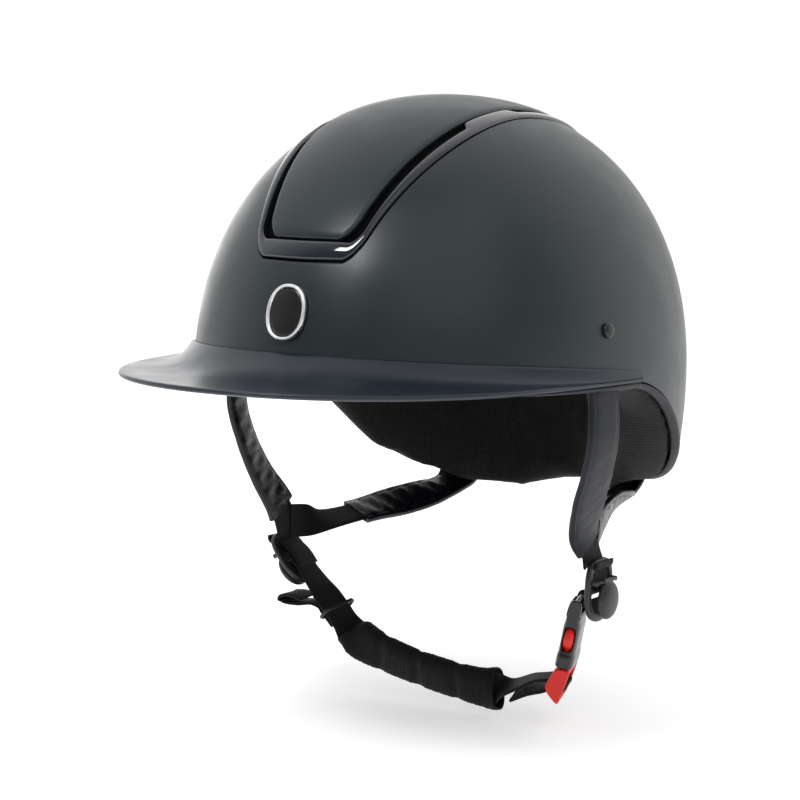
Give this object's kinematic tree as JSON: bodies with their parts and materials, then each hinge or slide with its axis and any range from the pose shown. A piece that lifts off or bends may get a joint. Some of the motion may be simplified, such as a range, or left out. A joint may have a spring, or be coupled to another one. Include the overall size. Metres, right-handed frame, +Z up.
{
  "type": "equestrian riding helmet",
  "caption": "Wide-brimmed riding helmet with a framed centre panel, foam liner, textile pads and a buckled chin harness.",
  "frame": {"origin": "centre of the dome in plan, at its widest level, on the axis of the wearer's head", "axes": "+Z up, -Y to the wearer's front (the brim), +X to the wearer's left (the buckle side)"},
  "size_m": [0.2214, 0.3319, 0.2945],
  "materials": {
    "matt_navy": "soft matt coating",
    "gloss_navy": "high gloss",
    "foam_black": "moulded foam",
    "rim_edge": "satin edge bead",
    "metal": "polished",
    "plastic_black": "satin moulded",
    "textile": "fine mesh over foam",
    "hide_navy": "smooth synthetic leather",
    "plastic_red": "satin moulded",
    "webbing": "ribbed polyester webbing"
  },
  "bodies": {
    "root": {"outer_shell": "matt_navy", "eps_liner": "foam_black", "centre_panel": "matt_navy", "trim_frame": "gloss_navy", "brim": "matt_navy", "rim_trim": "rim_edge", "badge_rim": "metal", "badge_face": "plastic_black", "front_rivets": "plastic_black", "rear_rivets": "plastic_black", "strap_washers": "metal", "forehead_band": "textile", "side_pad_left": "textile", "side_pad_right": "textile", "nape_pad": "textile", "crown_pad": "textile", "hook_dots": "plastic_black", "front_webbing_left": "webbing", "rear_webbing_left": "webbing", "front_webbing_right": "webbing", "rear_webbing_right": "webbing", "front_sleeve_left": "hide_navy", "rear_sleeve_left": "hide_navy", "front_sleeve_right": "hide_navy", "rear_sleeve_right": "hide_navy", "divider_frame_left": "plastic_black", "cam_pin_left": "metal", "lower_webbing_left": "webbing", "buckle_housing": "plastic_black"},
    "chin_strap": {"divider_frame_right": "plastic_black", "cam_pin_right": "metal", "chin_webbing": "webbing", "chin_pad": "textile", "adjuster_strand": "webbing", "strap_tail": "webbing", "buckle_tongue": "plastic_red"},
    "cam_left": {"cam_lever_left": "plastic_black"},
    "cam_right": {"cam_lever_right": "plastic_black"},
    "latch_front": {"latch_arm_front": "plastic_red"},
    "latch_rear": {"latch_arm_rear": "plastic_red"},
    "keeper": {"keeper_ring": "plastic_black"}
  },
  "joints": [
    {"name": "chin_strap_swing", "type": "hinge", "parent": "root", "child": "chin_strap", "pos_m": [-0.094, -0.003, -0.09], "axis": [0, 1, 0], "range_deg": [0, 70], "deforming": ["latch_arm_front", "latch_arm_rear"]},
    {"name": "cam_left_turn", "type": "hinge", "parent": "root", "child": "cam_left", "pos_m": [0.09, 0.002, -0.0905], "axis": [0, -1, 0], "range_deg": [0, 75]},
    {"name": "cam_right_turn", "type": "hinge", "parent": "chin_strap", "child": "cam_right", "pos_m": [-0.09191, -0.003, -0.09934], "axis": [0, 1, 0], "range_deg": [0, 75]},
    {"name": "latch_front_squeeze", "type": "hinge", "parent": "chin_strap", "child": "latch_front", "pos_m": [0.07287, -0.00658, -0.13377], "axis": [-0.9401, -0.2924, 0.1755], "range_deg": [0, 7], "stiffness_Nm_per_rad": 0.5},
    {"name": "latch_rear_squeeze", "type": "hinge", "parent": "chin_strap", "child": "latch_rear", "pos_m": [0.06862, 0.00758, -0.13298], "axis": [0.9401, 0.2924, -0.1755], "range_deg": [0, 7], "stiffness_Nm_per_rad": 0.5},
    {"name": "keeper_slide", "type": "slide", "parent": "chin_strap", "child": "keeper", "axis": [0.7068, -0.028, -0.7068], "range_m": [-0.003, 0.003]}
  ]
}
